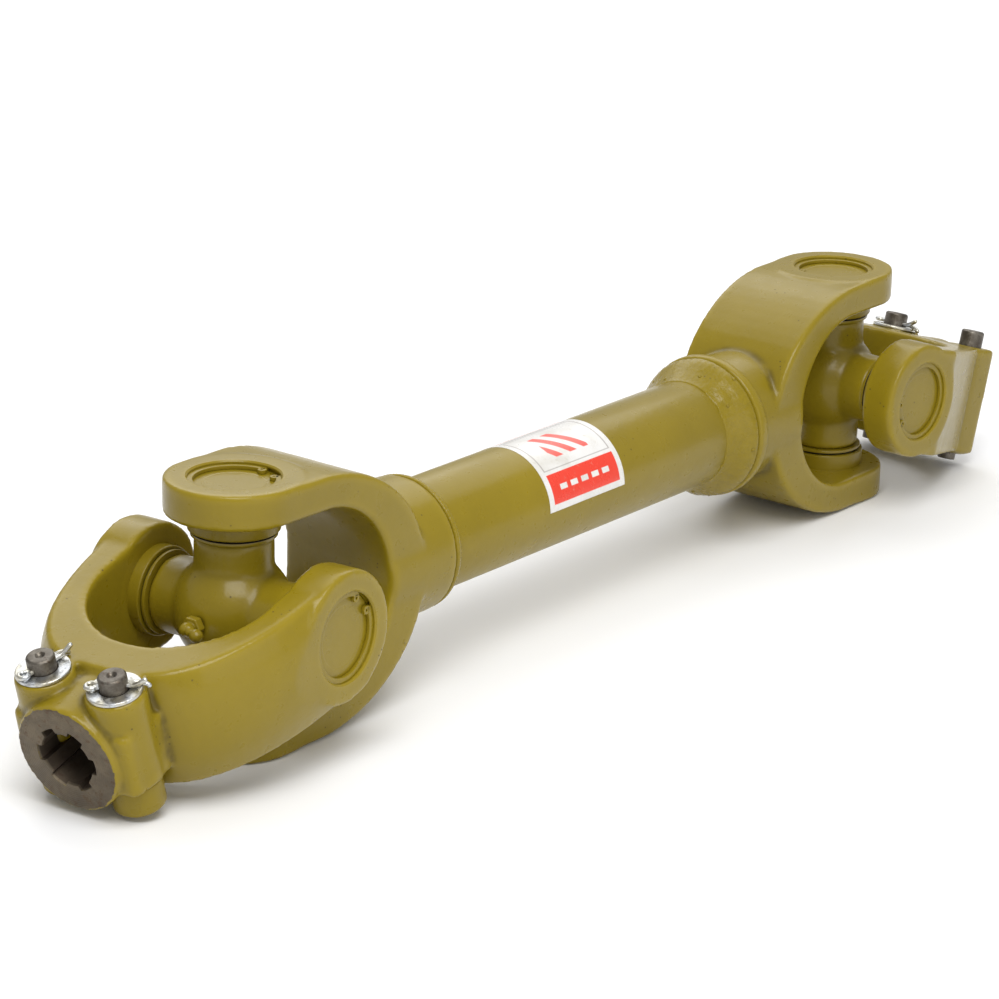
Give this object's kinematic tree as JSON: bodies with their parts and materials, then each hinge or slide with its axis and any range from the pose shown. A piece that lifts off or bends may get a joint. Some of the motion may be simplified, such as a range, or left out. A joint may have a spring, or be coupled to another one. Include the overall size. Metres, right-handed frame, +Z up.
{
  "type": "universal joint shaft",
  "caption": "Articulated drive shaft: a painted tube with a cross joint and a splined, pin-locked yoke at each end.",
  "frame": {"origin": "centre of the near splined bore's mouth, on the near hub's end face", "axes": "+X runs along the tube from the near end to the far end, +Z up as the shaft lies on a floor, +Y completes a right-handed frame"},
  "size_m": [0.8221, 0.1485, 0.143],
  "materials": {
    "olive_paint": "glossy olive-yellow enamel over cast and forged steel",
    "dark_steel": "dark oiled steel",
    "zinc": "bright zinc plate",
    "bearing_steel": "ground bearing steel",
    "seal_rubber": "black rubber",
    "sticker": "printed vinyl, white with a red band"
  },
  "bodies": {
    "tube_shaft": {"shaft_tube": "olive_paint", "sticker": "sticker", "near_tube_yoke": "olive_paint", "far_tube_yoke": "olive_paint", "near_weld": "olive_paint", "far_weld": "olive_paint", "near_cup_upper": "olive_paint", "near_cup_lower": "olive_paint", "near_needles_upper": "bearing_steel", "near_needles_lower": "bearing_steel", "near_seal_upper": "seal_rubber", "near_seal_lower": "seal_rubber", "near_snap_ring_upper": "olive_paint", "near_snap_ring_lower": "olive_paint", "far_cup_upper": "olive_paint", "far_cup_lower": "olive_paint", "far_needles_upper": "bearing_steel", "far_needles_lower": "bearing_steel", "far_seal_upper": "seal_rubber", "far_seal_lower": "seal_rubber", "far_snap_ring_upper": "olive_paint", "far_snap_ring_lower": "olive_paint"},
    "near_cross_body": {"near_cross": "olive_paint", "near_grease_nipple": "olive_paint"},
    "near_end_yoke_body": {"near_end_yoke": "olive_paint", "near_cup_front": "olive_paint", "near_cup_back": "olive_paint", "near_needles_front": "bearing_steel", "near_needles_back": "bearing_steel", "near_seal_front": "seal_rubber", "near_seal_back": "seal_rubber", "near_snap_ring_front": "olive_paint", "near_snap_ring_back": "olive_paint", "near_locking_pin_front": "dark_steel", "near_locking_pin_back": "dark_steel", "near_washer_front": "zinc", "near_washer_back": "zinc", "near_split_pin_front": "zinc", "near_split_pin_back": "zinc"},
    "far_cross_body": {"far_cross": "olive_paint", "far_grease_nipple": "olive_paint"},
    "far_end_yoke_body": {"far_end_yoke": "olive_paint", "far_cup_front": "olive_paint", "far_cup_back": "olive_paint", "far_needles_front": "bearing_steel", "far_needles_back": "bearing_steel", "far_seal_front": "seal_rubber", "far_seal_back": "seal_rubber", "far_snap_ring_front": "olive_paint", "far_snap_ring_back": "olive_paint", "far_locking_pin_front": "dark_steel", "far_locking_pin_back": "dark_steel", "far_washer_back": "zinc", "far_split_pin_back": "zinc"}
  },
  "joints": [
    {"name": "near_cross_swing", "type": "hinge", "parent": "tube_shaft", "child": "near_cross_body", "pos_m": [0.13304, 0.01, 0.03901], "axis": [0, 0, 1], "range_deg": [-34.3, 25.7]},
    {"name": "near_yoke_pitch", "type": "hinge", "parent": "near_cross_body", "child": "near_end_yoke_body", "pos_m": [0.13304, 0.01, 0.03901], "axis": [-0.075, 0.9972, 0], "range_deg": [-13.7, 46.3]},
    {"name": "far_cross_swing", "type": "hinge", "parent": "tube_shaft", "child": "far_cross_body", "pos_m": [0.68504, 0.01, 0.03901], "axis": [0, 0, 1], "range_deg": [-27, 33]},
    {"name": "far_yoke_pitch", "type": "hinge", "parent": "far_cross_body", "child": "far_end_yoke_body", "pos_m": [0.68504, 0.01, 0.03901], "axis": [0.0523, 0.9986, 0], "range_deg": [-45.5, 14.5]}
  ]
}
